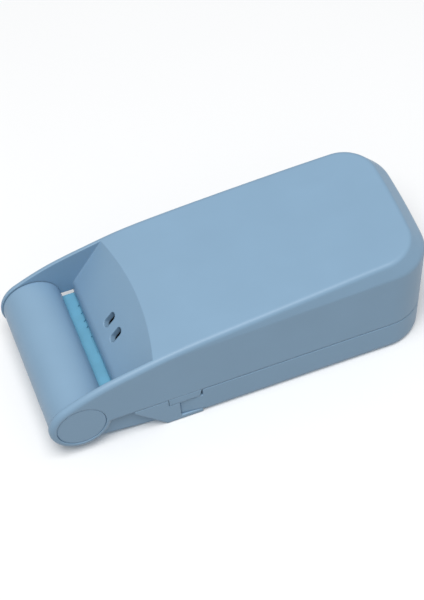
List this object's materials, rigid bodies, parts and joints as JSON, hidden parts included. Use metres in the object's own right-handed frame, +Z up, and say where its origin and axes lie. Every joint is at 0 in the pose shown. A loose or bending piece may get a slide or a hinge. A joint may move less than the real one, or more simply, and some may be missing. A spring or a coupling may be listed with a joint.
{
  "type": "handheld bag heat sealer",
  "caption": "Small handheld bag heat sealer: tapered case with two front arms, a drum-hinged press jaw below, a heated strip and a battery bay.",
  "frame": {"origin": "middle of the footprint's bounding box, on the table the tray stands on", "axes": "+X to the tall rear end, +Y to the left when looking to +X, +Z up; the jaw's drum is at the -X end"},
  "size_m": [0.0991, 0.042, 0.0307],
  "materials": {
    "case_plastic": "light blue moulded plastic, fine satin texture",
    "jaw_plastic": "light blue moulded plastic, satin",
    "silicone": "blue silicone rubber",
    "release_cloth": "PTFE-coated glass cloth, brown",
    "nichrome": "rolled resistance ribbon",
    "mica": "mica sheet",
    "phenolic": "heat-proof phenolic moulding",
    "brass": "stamped brass",
    "cutout_case": "small sealed component",
    "switch_plastic": "black moulding",
    "plunger_plastic": "red moulding",
    "cell_can": "bare metal can, no label",
    "contact_steel": "nickel-plated spring steel",
    "lead_red": "insulated lead",
    "lead_black": "insulated lead",
    "lead_white": "insulated lead",
    "screw_steel": "zinc-plated screws"
  },
  "bodies": {
    "case": {"top_shell": "case_plastic", "bottom_tray": "case_plastic", "heater_deck": "case_plastic", "release_tape": "release_cloth", "heating_ribbon": "nichrome", "mica_insulator": "mica", "heater_holder": "phenolic", "heater_terminals": "brass", "thermal_cutout": "cutout_case", "switch_body": "switch_plastic", "battery_left": "cell_can", "battery_right": "cell_can", "front_contact_left": "contact_steel", "front_contact_right": "contact_steel", "rear_contact": "contact_steel", "case_screws": "screw_steel", "lead_cell_to_heater": "lead_red", "lead_switch_to_cell": "lead_black", "lead_heater_to_switch": "lead_white"},
    "jaw": {"press_jaw": "jaw_plastic", "silicone_pad": "silicone", "hinge_cap_left": "jaw_plastic", "hinge_cap_right": "jaw_plastic"},
    "door": {"battery_door": "case_plastic"},
    "plunger": {"switch_plunger": "plunger_plastic"}
  },
  "joints": [
    {"name": "jaw_hinge", "type": "hinge", "parent": "case", "child": "jaw", "pos_m": [-0.0418, 0, 0.0103], "axis": [0, 1, 0], "range_deg": [0, 15]},
    {"name": "door_slide", "type": "slide", "parent": "case", "child": "door", "axis": [1, 0, 0], "range_m": [0, 0.025]},
    {"name": "plunger_slide", "type": "slide", "parent": "case", "child": "plunger", "axis": [0, 0, 1], "range_m": [0, 0.0008], "stiffness_N_per_m": 400, "springref_m": -0.0006}
  ]
}
